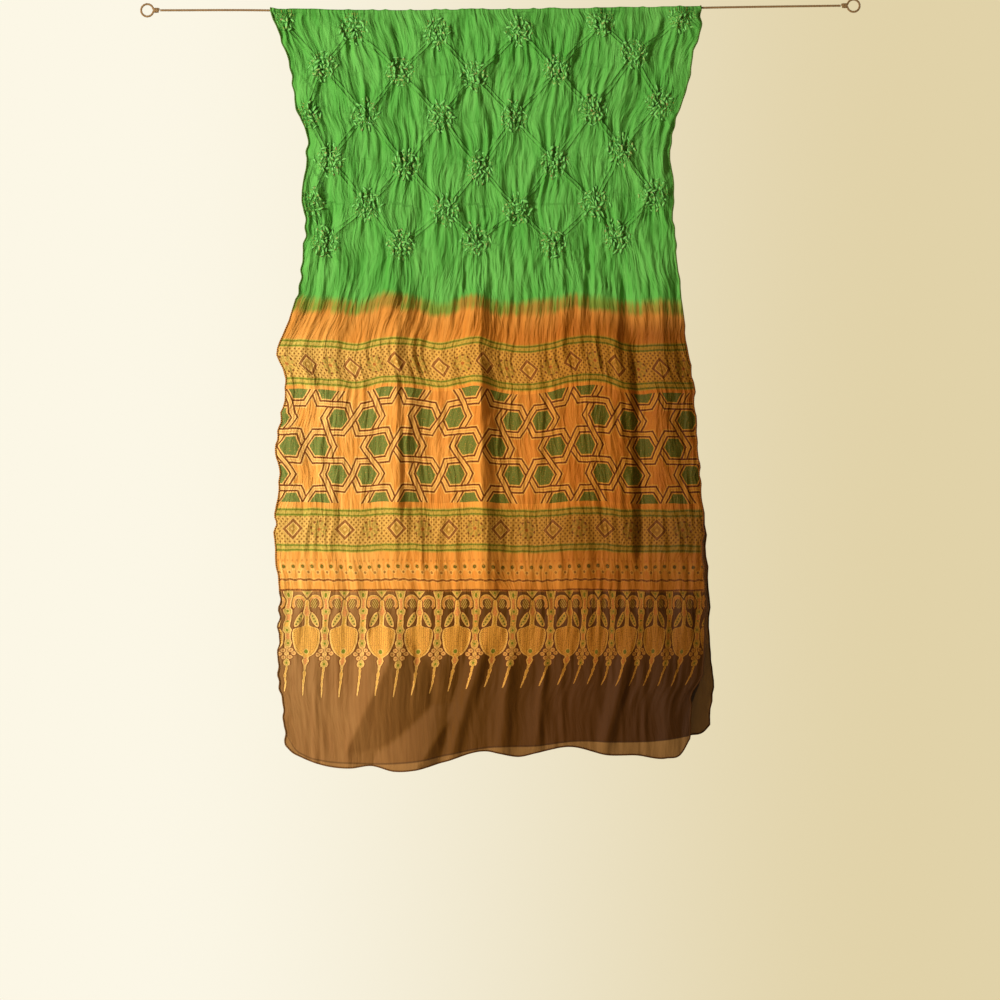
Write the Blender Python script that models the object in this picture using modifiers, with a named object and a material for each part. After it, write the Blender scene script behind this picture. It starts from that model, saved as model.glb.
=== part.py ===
"""A tie-dyed silk stole, folded in half over a taut hanging line.

Metres, +Z up. X runs to the right along the line, -Y faces the viewer, and the origin is on the
line's own axis, under the middle of the fold. The stole is one cloth, 0.60 by 2.03 m when flat:
its front half comes down before the line and its back half behind it. The tied field at its
middle draws the cloth in, and the plain ends hang wider. The line ends in a knotted loop on each
side.
"""

import math

import bmesh
import bpy
import numpy as np

MM = 0.001

# The stole, flat
CLOTH_LENGTH = 2.030
CLOTH_THICKNESS = 1.2 * MM

# The stole, hung: how far each half comes down, and how much of it is the tied field
FRONT_DROP = 0.974
BACK_DROP = 0.961
TIED_DROP = 0.381
TIED_LENGTH = (CLOTH_LENGTH - FRONT_DROP - BACK_DROP + 2 * TIED_DROP) / 2

# The line that the stole hangs from
LINE_DIAMETER = 3.0 * MM
SEAT_GAP = 0.4 * MM
FOLD_RADIUS = LINE_DIAMETER / 2 + SEAT_GAP + CLOTH_THICKNESS / 2
LINE_STEPS = 64
LINE_BEVEL = 2
LOOP_RADIUS = 8.0 * MM
LOOP_SIDES = (24, 8)
KNOT_RADIUS = 3.6 * MM
KNOT_LENGTH = 10.0 * MM
KNOT_SIDES = (14, 8)
PIECE_GAP = 0.3 * MM

# The grid that the cloth is shaped from
COLUMNS = 36
FOLD_STEPS = 6
FRONT_ROW_DROPS = (0.330, 0.830, FRONT_DROP)
FRONT_ROW_COUNTS = (15, 10, 6)
BACK_ROW_DROPS = (0.330, BACK_DROP)
BACK_ROW_COUNTS = (13, 12)

# The line's route, in millimetres: it dips a little under the cloth and rises to the right
LINE_ROUTE = {
    "across": (-429, -296, -208, -91, 0, 169, 313, 456),
    "height": (1, 1, -1, -1, 0, 2, 5, 7),
}

# The level that every drop below is measured from: the cloth's top, above the line's middle
TOP_LEVEL = 4 * MM
LINE_LEVEL_REACH = 80 * MM

# The side edges of the front half, in millimetres down from the line and across from its middle
FRONT_LEFT_EDGE = {
    "drop": (0, 26, 62, 103, 140, 169, 200, 239, 282, 328, 398, 433, 452, 484, 533, 569, 608,
             640, 712, 755, 822, 887, 924, 958),
    "across": (-285, -276, -263, -255, -248, -237, -238, -243, -239, -242, -256, -271, -275, -265,
               -270, -277, -272, -276, -278, -273, -274, -273, -268, -265),
}
FRONT_RIGHT_EDGE = {
    "drop": (0, 29, 55, 83, 118, 147, 177, 237, 269, 300, 354, 394, 443, 490, 555, 601, 666, 732,
             775, 841, 881, 900, 918, 949),
    "across": (274, 272, 265, 260, 250, 240, 235, 238, 237, 239, 247, 251, 256, 264, 268, 272,
               276, 277, 280, 276, 272, 264, 261, 260),
}

# The back half's left edge keeps to the front's; its right edge hangs further out
BACK_RIGHT_EDGE = {
    "drop": (0, 29, 55, 83, 118, 147, 177, 237, 300, 354, 443, 490, 555, 598, 640, 681, 727, 802,
             837, 868, 904, 935),
    "across": (274, 272, 265, 260, 250, 240, 235, 238, 239, 247, 256, 262, 267, 270, 276, 280,
               283, 285, 285, 287, 292, 286),
}

# The hems: share of the width from the left edge, and millimetres down from the line
FRONT_HEM = {
    "share": (0.0, 0.015, 0.04, 0.10, 0.16, 0.21, 0.27, 0.32, 0.39, 0.50, 0.53, 0.575, 0.62,
              0.70, 0.80, 0.865, 0.94, 0.98, 1.0),
    "drop": (958, 966, 973, 984, 987, 984, 991, 989, 979, 965, 968, 972, 967, 959, 970, 970, 974,
             967, 949),
}
BACK_HEM = {
    "share": (0.0, 0.02, 0.045, 0.09, 0.16, 0.21, 0.31, 0.38, 0.48, 0.59, 0.68, 0.79, 0.88, 0.955,
              0.985, 1.0),
    "drop": (940, 962, 972, 979, 982, 983, 979, 971, 961, 959, 953, 954, 952, 945, 941, 932),
}
HEM_WAVE_REACH = 0.150

# How far each half stands off the plane of the line, in millimetres
STAND_OFF = {
    "drop": (0, 60, 200, 400, 974),
    "front": (0.0, 3.0, 5.0, 8.0, 8.0),
    "back": (0.0, 2.0, 4.0, 5.0, 5.0),
}

# The tied clusters: each row's drop and each cluster's place across, in millimetres
CLUSTER_ROWS = (
    {"drop": (14, 25, 31, 29, 17, 12), "across": (-272, -177, -69, 38, 143, 250)},
    {"drop": (75, 83, 88, 81, 60), "across": (-217, -117, -20, 86, 187)},
    {"drop": (142, 139, 143, 143, 133, 125), "across": (-239, -162, -64, 31, 133, 220)},
    {"drop": (198, 205, 209, 202, 185), "across": (-207, -109, -13, 84, 170)},
    {"drop": (255, 257, 264, 263, 254, 244), "across": (-233, -159, -58, 36, 135, 213)},
    {"drop": (306, 309, 304, 308, 299), "across": (-213, -116, -18, 82, 165)},
)
CLUSTER_RADIUS = 21 * MM
CLUSTER_HEIGHT = 6 * MM
CLUSTER_PULL = 0.30
PULL_REACH = 32 * MM
PULL_FREE_SHARE = 0.06
PULL_FREE_DROP = 12 * MM
TIED_RELIEF_START = 15 * MM
TAUT_CREASE_REACH = 75 * MM
TAUT_CREASE_SLANT = 0.4
TAUT_CREASE_HEIGHT = 3.0 * MM
TAUT_CREASE_WIDTH = 9 * MM

# The main folds of the plain end, in millimetres: a line from top to bottom, its half width and
# its height away from the line's plane, or towards it where it is negative
FOLD_COLUMNS = ("name", "top_across", "top_drop", "low_across", "low_drop", "half_width", "height")
FRONT_FOLDS = (
    ("left_crest", -121, 350, -120, 670, 22, 7),
    ("left_dip", -88, 360, -84, 640, 20, -5),
    ("middle_crest", -18, 400, -6, 730, 20, 9),
    ("middle_dip", 18, 400, 30, 720, 20, -4),
    ("broad_crest", 110, 400, 117, 730, 34, 5),
    ("right_crest", 160, 400, 178, 690, 20, 9),
    ("deep_pleat", 187, 440, 196, 690, 13, -9),
    ("edge_crest", 216, 350, 226, 560, 22, 6),
    ("left_flap", -250, 470, -218, 502, 14, 5),
    ("hem_crest_left", -73, 890, -156, 966, 17, 7),
    ("hem_dip_left", -132, 850, -150, 945, 16, -5),
    ("hem_crest_main", -70, 880, -114, 992, 20, 8),
    ("hem_crest_second", -8, 840, -56, 985, 18, 7),
    ("hem_crest_middle", 22, 860, 16, 975, 22, 7),
    ("hem_crest_small", 58, 850, 55, 940, 14, 5),
    ("hem_crest_right", 146, 850, 148, 960, 18, 7),
    ("hem_crest_edge", 226, 850, 232, 950, 14, 4),
)
BACK_FOLDS = (
    ("left_crest", -190, 350, -180, 960, 34, 6),
    ("left_dip", -120, 380, -110, 940, 28, -4),
    ("middle_crest", -40, 330, -60, 960, 36, 7),
    ("middle_dip", 40, 420, 50, 940, 30, -4),
    ("right_crest", 120, 350, 140, 960, 34, 7),
    ("edge_crest", 220, 420, 240, 900, 26, 5),
)
FOLD_END_REACH = 30 * MM

GREEN = (0.10, 0.42, 0.07, 1.0)
CORD_BROWN = (0.26, 0.15, 0.07, 1.0)


def material(name, colour, roughness):
    """A plain finish for the solids."""
    made = bpy.data.materials.new(name)
    made.use_nodes = True
    shader = made.node_tree.nodes["Principled BSDF"]
    shader.inputs["Base Color"].default_value = colour
    shader.inputs["Roughness"].default_value = roughness
    shader.inputs["Metallic"].default_value = 0.0
    return made


def smooth_table(places, values, at):
    """Reads a table as one smooth curve through its rows, with flat ends."""
    places = np.asarray(places, float)
    values = np.asarray(values, float)
    at = np.clip(at, places[0], places[-1])
    slopes = np.gradient(values, places)
    row = np.clip(np.searchsorted(places, at, side="right") - 1, 0, len(places) - 2)
    span = places[row + 1] - places[row]
    t = (at - places[row]) / span
    return (
        values[row] * (1 + 2 * t) * (1 - t) ** 2
        + values[row + 1] * t * t * (3 - 2 * t)
        + slopes[row] * span * t * (1 - t) ** 2
        - slopes[row + 1] * span * t * t * (1 - t)
    )


def ease(value):
    """Goes smoothly from 0 to 1 as value does."""
    value = np.clip(value, 0.0, 1.0)
    return value * value * (3 - 2 * value)


def line_height(across):
    """The height of the line's axis at a place across."""
    return smooth_table(LINE_ROUTE["across"], LINE_ROUTE["height"], across / MM) * MM


def drop_of_length(length):
    """How far down a point hangs, from its length along the flat cloth below the line."""
    tied = length * TIED_DROP / TIED_LENGTH
    plain = TIED_DROP + length - TIED_LENGTH
    return np.where(length < TIED_LENGTH, tied, plain)


def bell(distance, width):
    """A soft round bump, 1 at its middle."""
    return np.exp(-((distance / width) ** 2))


def along_segment(x, drop, start, end):
    """The distance of each point from a line between two places, and its share along it."""
    run = np.subtract(end, start)
    share = ((x - start[0]) * run[0] + (drop - start[1]) * run[1]) / np.dot(run, run)
    held = np.clip(share, 0.0, 1.0)
    away = np.hypot(x - start[0] - held * run[0], drop - start[1] - held * run[1])
    side = np.abs((x - start[0]) * run[1] - (drop - start[1]) * run[0]) / np.hypot(*run)
    return side, away, share


def fold_relief(x, drop, folds):
    """The height of the main folds of one half."""
    relief = np.zeros_like(x)
    for values in folds:
        fold = dict(zip(FOLD_COLUMNS, values))
        start = (fold["top_across"] * MM, fold["top_drop"] * MM)
        end = (fold["low_across"] * MM, fold["low_drop"] * MM)
        side, _, share = along_segment(x, drop, start, end)
        past = np.maximum(np.maximum(-share, share - 1), 0.0) * math.dist(start, end)
        fade = bell(past, FOLD_END_REACH)
        relief += fold["height"] * MM * bell(side, fold["half_width"] * MM) * fade
    return relief


def clusters(mirror):
    """Every tied cluster of one half as (across, drop); the back half is tied the other way round."""
    found = []
    for row in CLUSTER_ROWS:
        for across, drop in zip(row["across"], row["drop"]):
            found.append((mirror * across * MM, drop * MM))
    return found


def taut_pairs(places):
    """Neighbouring clusters on a slant, which the ties pull into a crease between them."""
    pairs = []
    for first in places:
        for second in places:
            across = abs(second[0] - first[0])
            slants = second[1] - first[1] > TAUT_CREASE_SLANT * across
            if slants and math.dist(first, second) < TAUT_CREASE_REACH:
                pairs.append((first, second))
    return pairs


def tied_relief(x, drop, places):
    """The domes of the clusters and the creases pulled between them."""
    relief = np.zeros_like(x)
    for across, down in places:
        relief += CLUSTER_HEIGHT * bell(np.hypot(x - across, drop - down), CLUSTER_RADIUS)
    for first, second in taut_pairs(places):
        _, away, _ = along_segment(x, drop, first, second)
        relief = np.maximum(relief, TAUT_CREASE_HEIGHT * bell(away, TAUT_CREASE_WIDTH))
    return relief


def pulled_in(x, drop, places):
    """Moves each point towards the clusters near it."""
    shift_x = np.zeros_like(x)
    shift_drop = np.zeros_like(x)
    for across, down in places:
        pull = CLUSTER_PULL * bell(np.hypot(x - across, drop - down), PULL_REACH)
        shift_x += pull * (across - x)
        shift_drop += pull * (down - drop)
    return shift_x, shift_drop


def half_surface(share, length, front):
    """Places points of one half: share across from the left edge, length below the line."""
    full_drop = FRONT_DROP if front else BACK_DROP
    hem = FRONT_HEM if front else BACK_HEM
    right_edge = FRONT_RIGHT_EDGE if front else BACK_RIGHT_EDGE
    places = clusters(1 if front else -1)

    drop = drop_of_length(length)
    left = smooth_table(FRONT_LEFT_EDGE["drop"], FRONT_LEFT_EDGE["across"], drop / MM) * MM
    right = smooth_table(right_edge["drop"], right_edge["across"], drop / MM) * MM
    x = left + (right - left) * share
    edge_hold = ease(share / PULL_FREE_SHARE) * ease((1 - share) / PULL_FREE_SHARE)
    edge_hold = edge_hold * ease(drop / PULL_FREE_DROP)
    shift_x, shift_drop = pulled_in(x, drop, places)
    relief = tied_relief(x, drop, places) * ease(drop / TIED_RELIEF_START)
    relief += fold_relief(x, drop, FRONT_FOLDS if front else BACK_FOLDS)
    x = x + shift_x * edge_hold

    hem_drop = smooth_table(hem["share"], hem["drop"], share) * MM
    hem_reach = ease((drop - full_drop) / HEM_WAVE_REACH + 1)
    down = drop + shift_drop * edge_hold + (hem_drop - full_drop) * hem_reach
    z = TOP_LEVEL + (line_height(x) - TOP_LEVEL) * bell(drop, LINE_LEVEL_REACH) - down

    stand_off = np.interp(drop / MM, STAND_OFF["drop"], STAND_OFF["front" if front else "back"])
    away = FOLD_RADIUS + np.maximum(stand_off * MM + relief, 0.0)
    return np.stack([x, -away if front else away, z], axis=-1)


def fold_surface(share, turn):
    """Places points of the bend over the line: turn goes from 0 at the front to 1 at the back."""
    left = FRONT_LEFT_EDGE["across"][0] * MM
    right = FRONT_RIGHT_EDGE["across"][0] * MM
    x = left + (right - left) * share
    angle = math.pi * turn
    y = -FOLD_RADIUS * np.cos(angle)
    z = line_height(x) + FOLD_RADIUS * np.sin(angle)
    return np.stack([x, np.full_like(x, y), z], axis=-1)


def length_of_drop(drop):
    """The reverse of drop_of_length, for one number."""
    if drop < TIED_DROP:
        return drop * TIED_LENGTH / TIED_DROP
    return TIED_LENGTH + drop - TIED_DROP


def row_lengths(drops, counts):
    """Lengths below the line of one half's rows, closer where its relief is finer."""
    lengths = []
    start = 0.0
    for end, count in zip(drops, counts):
        for step in range(count):
            lengths.append(length_of_drop(start + (end - start) * (step + 1) / count))
        start = end
    return lengths


def cloth_rows():
    """Every row of the cloth from the front hem, over the line, to the back hem."""
    share = np.linspace(0.0, 1.0, COLUMNS + 1)
    rows = []
    for length in reversed(row_lengths(FRONT_ROW_DROPS, FRONT_ROW_COUNTS)):
        rows.append(half_surface(share, np.full_like(share, length), True))
    for step in range(FOLD_STEPS + 1):
        rows.append(fold_surface(share, step / FOLD_STEPS))
    for length in row_lengths(BACK_ROW_DROPS, BACK_ROW_COUNTS):
        rows.append(half_surface(share, np.full_like(share, length), False))
    return rows


def stole(collection):
    """The whole cloth: a flat grid shaped row by row, then given its thickness."""
    rows = cloth_rows()
    last_row = len(rows) - 1
    shape = bmesh.new()
    bmesh.ops.create_grid(shape, x_segments=COLUMNS, y_segments=last_row, size=0.5)
    for vertex in shape.verts:
        column = round((vertex.co.x + 0.5) * COLUMNS)
        row = round((vertex.co.y + 0.5) * last_row)
        vertex.co = rows[row][column]
    mesh = bpy.data.meshes.new("stole")
    shape.to_mesh(mesh)
    shape.free()
    mesh.shade_smooth()
    mesh.materials.append(material("tied silk", GREEN, 0.6))
    cloth = bpy.data.objects.new("stole", mesh)
    collection.objects.link(cloth)
    solid = cloth.modifiers.new("thickness", "SOLIDIFY")
    solid.thickness = CLOTH_THICKNESS
    solid.offset = 0.0
    return cloth


def hanging_line(collection, finish):
    """The taut line, a tube through the fold that stops short of the knot at each end."""
    ends = [LINE_ROUTE["across"][0] * MM, LINE_ROUTE["across"][-1] * MM]
    across = np.linspace(ends[0] + PIECE_GAP, ends[1] - PIECE_GAP, LINE_STEPS)
    curve = bpy.data.curves.new("hanging_line", "CURVE")
    curve.dimensions = "3D"
    curve.bevel_depth = LINE_DIAMETER / 2
    curve.bevel_resolution = LINE_BEVEL
    curve.use_fill_caps = True
    spline = curve.splines.new("POLY")
    spline.points.add(LINE_STEPS - 1)
    for point, x in zip(spline.points, across):
        point.co = (x, 0.0, line_height(x), 1.0)
    curve.materials.append(finish)
    line = bpy.data.objects.new("hanging_line", curve)
    collection.objects.link(line)
    return line


def end_loop(collection, finish, name, side):
    """A knot at one end of the line, and the loop that it ties."""
    end = LINE_ROUTE["across"][0 if side < 0 else -1] * MM
    height = line_height(end)
    knot_middle = end + side * KNOT_LENGTH / 2
    loop_middle = end + side * (KNOT_LENGTH + LOOP_RADIUS - LINE_DIAMETER / 2)
    bpy.ops.mesh.primitive_torus_add(
        major_radius=LOOP_RADIUS, minor_radius=LINE_DIAMETER / 2, major_segments=LOOP_SIDES[0],
        minor_segments=LOOP_SIDES[1], location=(loop_middle, 0, height),
        rotation=(math.pi / 2, 0, 0),
    )
    loop = bpy.context.object
    loop.name = name
    bpy.ops.mesh.primitive_uv_sphere_add(
        segments=KNOT_SIDES[0], ring_count=KNOT_SIDES[1], radius=1,
        location=(knot_middle, 0, height),
    )
    knot = bpy.context.object
    knot.name = name + "_knot"
    knot.scale = (KNOT_LENGTH / 2, KNOT_RADIUS, KNOT_RADIUS)
    for piece in (loop, knot):
        piece.data.materials.clear()
        piece.data.materials.append(finish)
        for owner in piece.users_collection:
            owner.objects.unlink(piece)
    collection["pieces"].objects.link(loop)
    collection["cutters"].objects.link(knot)
    knot.hide_render = True
    knot.display_type = "WIRE"
    join = loop.modifiers.new("tied", "BOOLEAN")
    join.operation = "UNION"
    join.object = knot
    return loop


def main():
    for old in list(bpy.data.objects):
        bpy.data.objects.remove(old)
    collection = {}
    for key, name in (("pieces", "stole on a line"), ("cutters", "stole on a line, cutters")):
        collection[key] = bpy.data.collections.new(name)
        bpy.context.scene.collection.children.link(collection[key])
    cord = material("line cord", CORD_BROWN, 0.8)
    stole(collection["pieces"])
    hanging_line(collection["pieces"], cord)
    end_loop(collection, cord, "left_end_loop", -1)
    end_loop(collection, cord, "right_end_loop", 1)


main()
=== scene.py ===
# %% [markdown]
# # A tie-dyed silk stole on a taut line
# This lesson dresses the solids of a silk stole that hangs folded in half over a thin line. The
# cloth gets its fine creases, tied points, rolled hem, dye and block print, and the line gets its
# twist and its end knots. X runs right along the line, Z is up, and the viewer is on the -Y side.

# %% Load the solids as a fixed frame
import math

import bmesh
import bpy
import numpy as np
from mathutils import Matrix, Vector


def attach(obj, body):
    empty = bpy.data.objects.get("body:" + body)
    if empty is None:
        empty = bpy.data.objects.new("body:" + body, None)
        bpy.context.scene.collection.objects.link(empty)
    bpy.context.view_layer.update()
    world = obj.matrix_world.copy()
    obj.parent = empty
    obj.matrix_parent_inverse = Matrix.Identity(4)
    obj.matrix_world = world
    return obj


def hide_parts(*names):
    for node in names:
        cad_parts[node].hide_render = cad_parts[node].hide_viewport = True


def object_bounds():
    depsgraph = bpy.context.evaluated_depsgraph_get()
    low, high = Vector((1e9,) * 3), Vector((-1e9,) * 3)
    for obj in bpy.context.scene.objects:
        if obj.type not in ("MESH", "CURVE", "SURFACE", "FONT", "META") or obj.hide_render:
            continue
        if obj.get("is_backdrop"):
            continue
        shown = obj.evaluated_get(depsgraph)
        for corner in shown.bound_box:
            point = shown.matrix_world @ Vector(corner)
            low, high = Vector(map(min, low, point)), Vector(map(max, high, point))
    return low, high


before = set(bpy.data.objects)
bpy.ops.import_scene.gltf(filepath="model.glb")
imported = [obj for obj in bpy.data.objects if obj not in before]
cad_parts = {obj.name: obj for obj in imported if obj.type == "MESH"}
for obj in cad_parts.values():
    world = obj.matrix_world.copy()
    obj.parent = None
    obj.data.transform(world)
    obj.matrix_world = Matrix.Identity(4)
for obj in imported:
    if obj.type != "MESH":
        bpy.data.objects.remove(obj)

CAD_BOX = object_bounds()
print("solids:", sorted(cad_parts))

# %% [markdown]
# ## Sizes
# The cloth has the sizes of the solid, so these values are the same as in the part's source. The
# line's route is millimetres across, then millimetres up.

# %% The real sizes
MM = 0.001
CLOTH_WIDTH = 0.600
CLOTH_LENGTH = 2.030
FRONT_DROP = 0.974
BACK_DROP = 0.961
TIED_DROP = 0.381
TIED_LENGTH = (CLOTH_LENGTH - FRONT_DROP - BACK_DROP + 2 * TIED_DROP) / 2
FRONT_LENGTH = TIED_LENGTH + FRONT_DROP - TIED_DROP
LINE_DIAMETER = 3.0 * MM
FOLD_RADIUS = 2.5 * MM
LINE_ROUTE = ((-429, -296, -208, -91, 0, 169, 313, 456), (1, 1, -1, -1, 0, 2, 5, 7))
TOP_LEVEL = 4 * MM
LINE_LEVEL_REACH = 80 * MM
print("front half, flat: %.3f m" % FRONT_LENGTH)

# %% [markdown]
# ## Curves from tables
# Cloth edges wander, so a table holds a few measured places, and a smooth curve gives the rest.
# `ease` and `bell` are the two shapes that the folds use.

# %% Read a table as a smooth curve
def smooth_table(places, values, at):
    places, values = np.asarray(places, float), np.asarray(values, float)
    at = np.clip(at, places[0], places[-1])
    slopes = np.gradient(values, places)
    row = np.clip(np.searchsorted(places, at, side="right") - 1, 0, len(places) - 2)
    span = places[row + 1] - places[row]
    t = (at - places[row]) / span
    return (
        values[row] * (1 + 2 * t) * (1 - t) ** 2
        + values[row + 1] * t * t * (3 - 2 * t)
        + slopes[row] * span * t * (1 - t) ** 2
        - slopes[row + 1] * span * t * t * (1 - t)
    )


def ease(value):
    value = np.clip(value, 0.0, 1.0)
    return value * value * (3 - 2 * value)


def bell(distance, width):
    return np.exp(-((distance / width) ** 2))


def line_height(across):
    return smooth_table(*LINE_ROUTE, across / MM) * MM


# %% [markdown]
# Cloth is never even, so the small creases come from noise: random values on a coarse grid with
# smooth steps between them. Where a value crosses the middle, `ridged` makes a sharp crest.

# %% Smooth noise and sharp-crested noise
NOISE_COUNT = 7976
noise_values = np.random.default_rng(11).random(NOISE_COUNT)


def patchy(u, v, seed):
    column, row = np.floor(u).astype(int), np.floor(v).astype(int)
    s, t = ease(u - column), ease(v - row)

    def corner(right, down):
        place = (column + right) * 131 + (row + down) * 733 + seed * 1009
        return noise_values[place % NOISE_COUNT]

    upper = corner(0, 0) * (1 - s) + corner(1, 0) * s
    lower = corner(0, 1) * (1 - s) + corner(1, 1) * s
    return upper * (1 - t) + lower * t


def ridged(u, v, seed):
    return 1 - np.abs(2 * patchy(u, v, seed) - 1)


# %% [markdown]
# ## Camera
# The stole was photographed straight on. A long lens far away keeps the sides of the cloth
# nearly parallel. The photo is 1.3 m wide at the cloth.

# %% Place the camera
VIEW_MIDDLE = (0.013, -0.6356)
VIEW_WIDTH = 1.300
CAMERA_AWAY = 5.0
SENSOR_WIDTH = 36.0


def add(name, data):
    made = bpy.data.objects.new(name, data)
    bpy.context.scene.collection.objects.link(made)
    return made


camera = add("camera", bpy.data.cameras.new("camera"))
camera.data.sensor_width = SENSOR_WIDTH
camera.data.lens = SENSOR_WIDTH * CAMERA_AWAY / VIEW_WIDTH
camera.location = (VIEW_MIDDLE[0], -CAMERA_AWAY, VIEW_MIDDLE[1])
camera.rotation_euler = (math.pi / 2, 0, 0)
bpy.context.scene.camera = camera
print("lens: %.1f mm" % camera.data.lens)

# %% [markdown]
# ## Turning a flat grid into a piece
# A tube and a cloth are both a flat grid at first. `grid_mesh` makes it with an operator and then
# moves its points, so no face is listed by hand.

# %% Make a grid and put its points in place
def read(items, name, width=1, kind=float):
    values = np.empty(len(items) * width, kind)
    items.foreach_get(name, values)
    return values


def write(items, name, values, kind=np.float32):
    items.foreach_set(name, np.asarray(values).astype(kind).ravel())


def finished(shape, mesh):
    shape.to_mesh(mesh)
    shape.free()
    return mesh


def grid_mesh(name, place, flat, wrap=False):
    rows, columns = place.shape[0] - 1, place.shape[1] - 1
    shape = bmesh.new()
    bmesh.ops.create_grid(shape, x_segments=columns, y_segments=rows, size=0.5)
    mesh = finished(shape, bpy.data.meshes.new(name))
    points = read(mesh.vertices, "co", 3).reshape(-1, 3)
    column, row = np.rint((points[:, :2] + 0.5) * (columns, rows)).astype(int).T
    write(mesh.vertices, "co", place[row, column])
    corners = read(mesh.loops, "vertex_index", kind=int)
    write(mesh.uv_layers.new(name="flat").data, "uv", flat[row, column][corners])
    if wrap:
        shape = bmesh.new()
        shape.from_mesh(mesh)
        bmesh.ops.remove_doubles(shape, verts=shape.verts, dist=1e-7)
        rims = [edge for edge in shape.edges if edge.is_boundary]
        bmesh.ops.holes_fill(shape, edges=rims, sides=0)
        bmesh.ops.recalc_face_normals(shape, faces=shape.faces)
        finished(shape, mesh)
    mesh.shade_smooth()
    return mesh, row, column


def show(name, mesh):
    piece = add(name, mesh)
    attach(piece, "root")
    return piece


# %% [markdown]
# ## The line
# The stole hangs over a thin twisted cord that is pulled taut. For its two plies, the tube is a
# little narrow on two sides, and that turns as it goes along. The UV map keeps the way along and
# the way round in metres.

# %% A tube with two twisted plies
PLY_DEPTH = 0.16
TWIST_PITCH = 7.0 * MM
TUBE_SIDES = 12


def unit(vectors, least=0.0):
    return vectors / np.maximum(np.linalg.norm(vectors, axis=1), least)[:, None]


def around(sides):
    return np.append(np.linspace(0, 2 * np.pi, sides + 1)[:-1], 0.0)[:, None]


def twisted_tube(name, path, radius, thin_ends=False):
    steps = np.linalg.norm(np.diff(path, axis=0), axis=1)
    along = np.concatenate([[0.0], np.cumsum(steps)])
    forward = unit(np.gradient(path, axis=0))
    side = np.cross(forward, (0.0, 1.0, 0.0))
    lean = np.linalg.norm(side, axis=1) < 0.2
    side[lean] = np.cross(forward[lean], (0.0, 0.0, 1.0))
    side = unit(side)
    up = np.cross(side, forward)
    turn = around(TUBE_SIDES)
    size = radius * (1 - PLY_DEPTH * np.sin(turn - 2 * np.pi * along / TWIST_PITCH) ** 2)
    if thin_ends:
        to_end = np.minimum(along, along[-1] - along)
        size = size * np.clip(to_end / (radius * 1.5), 0.15, 1.0) ** 0.5
    place = path + (size * np.cos(turn))[..., None] * side + (size * np.sin(turn))[..., None] * up
    girth = np.linspace(0, 1, TUBE_SIDES + 1)[:, None] * 2 * math.pi * radius
    flat = np.stack(np.broadcast_arrays(along[None], girth), axis=-1)
    return grid_mesh(name, place, flat, wrap=True)[0], along[-1]


PIECE_GAP = 0.3 * MM
line_ends = (LINE_ROUTE[0][0] * MM, LINE_ROUTE[0][-1] * MM)
line_across = np.linspace(line_ends[0] + PIECE_GAP, line_ends[1] - PIECE_GAP, 885)
line_path = np.stack([line_across, 0 * line_across, line_height(line_across)], axis=-1)
line_mesh, line_length = twisted_tube("hanging_cord", line_path, LINE_DIAMETER / 2)
line_piece = show("hanging_cord", line_mesh)
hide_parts("hanging_line")
print("line: %.3f m" % line_length)

# %% [markdown]
# ## Its end loops
# The taut line ends in a loop on each side. The loop is one cord that leaves the knot, goes round
# and comes back, and the knot is a coil of touching turns around it.

# %% Make a loop and its wound knot
LOOP_RADIUS = 8.0 * MM
KNOT_LENGTH = 10.0 * MM
KNOT_RADIUS = 3.6 * MM
KNOT_TURNS = 4
KNOT_TAPER = 0.18
LOOP_TURN = 0.93 * np.pi
STRANDS_APART = 0.9 * MM


def loop_path(end, side):
    height = line_height(end)
    middle = end + side * (KNOT_LENGTH + LOOP_RADIUS - LINE_DIAMETER / 2)
    turn = np.linspace(-LOOP_TURN, LOOP_TURN, 90)
    x = middle + side * LOOP_RADIUS * np.cos(turn)
    z = height + LOOP_RADIUS * np.sin(turn)
    start = np.linspace(end + side * 2 * MM, x[0], 12)[:-1]
    lift = np.linspace(STRANDS_APART, 0, 12)[:-1]
    level = np.interp(start * side, [end * side, x[0] * side], [height, z[0]])
    first = np.stack([start, -lift, level], -1)
    last = first[::-1] * (1, -1, 1)
    last[:, 2] = 2 * height - last[:, 2]
    return np.concatenate([first, np.stack([x, 0 * x, z], -1), last])


def knot_path(end, side):
    turn = np.linspace(0, 2 * np.pi * KNOT_TURNS, 30 * KNOT_TURNS)
    share = turn / turn[-1]
    reach = KNOT_RADIUS - LINE_DIAMETER * 0.42
    x = end + side * (1.2 * MM + share * (KNOT_LENGTH - 2.4 * MM))
    swell = reach * (1 - KNOT_TAPER + KNOT_TAPER * np.sin(np.pi * share))
    return np.stack([x, swell * np.cos(turn), line_height(end) + swell * np.sin(turn)], -1)


cord_pieces = []
for name, side, end in (("left_loop", -1, line_ends[0]), ("right_loop", 1, line_ends[1])):
    mesh, length = twisted_tube(name, loop_path(end, side), LINE_DIAMETER / 2 * 0.96)
    loop = show(name, mesh)
    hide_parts(name.replace("loop", "end_loop"))
    knot = name + "_knot"
    mesh, _ = twisted_tube(knot, knot_path(end, side), LINE_DIAMETER * 0.40, thin_ends=True)
    cord_pieces += [loop, show(knot, mesh)]
    print(name, "cord in the loop: %.0f mm" % (length / MM))


# %% [markdown]
# ## The outline of the hung cloth
# The ties draw the middle in, and the plain ends hang wider. An edge is millimetres down from the
# line, then millimetres across. A hem is shares of the width, then millimetres down.

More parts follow.
